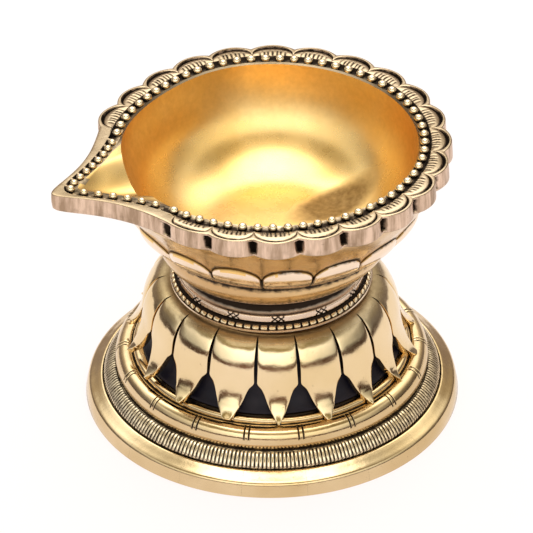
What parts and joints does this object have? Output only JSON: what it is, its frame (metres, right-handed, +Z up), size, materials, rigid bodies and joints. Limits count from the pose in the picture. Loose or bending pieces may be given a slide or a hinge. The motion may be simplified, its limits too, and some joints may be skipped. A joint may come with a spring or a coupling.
{
  "type": "diya oil lamp",
  "caption": "Cast brass oil lamp: round oil bowl with a scalloped, beaded rim and a pointed wick spout, on a collared neck, a lotus petal skirt over a black drum, and a stepped foot.",
  "frame": {"origin": "on the lamp's axis, in the plane that the foot stands on", "axes": "+Z up the lamp's axis; +X to the right and +Y to the back as the lamp is seen with its spout at the left; the spout points 203 degrees counterclockwise from +X"},
  "size_m": [0.1326, 0.125, 0.0996],
  "materials": {
    "bowl_brass": "polished cast brass with dark grooves, satin gold inside the well",
    "collar_brass": "turned brass with dark patina in the hollows",
    "skirt_brass": "mirror polished cast brass with small pits",
    "foot_brass": "polished turned brass with dark grooves",
    "black_paint": "smooth blue-black paint",
    "plated_steel": "dull zinc plate"
  },
  "bodies": {
    "root": {"oil_bowl": "bowl_brass", "neck_collar": "collar_brass", "bead_ring": "collar_brass", "lotus_skirt": "skirt_brass", "inner_drum": "black_paint", "foot_ring": "foot_brass", "tie_stud": "plated_steel", "clamp_plate": "plated_steel", "spring_washer": "plated_steel", "tie_nut": "plated_steel"}
  },
  "joints": []
}
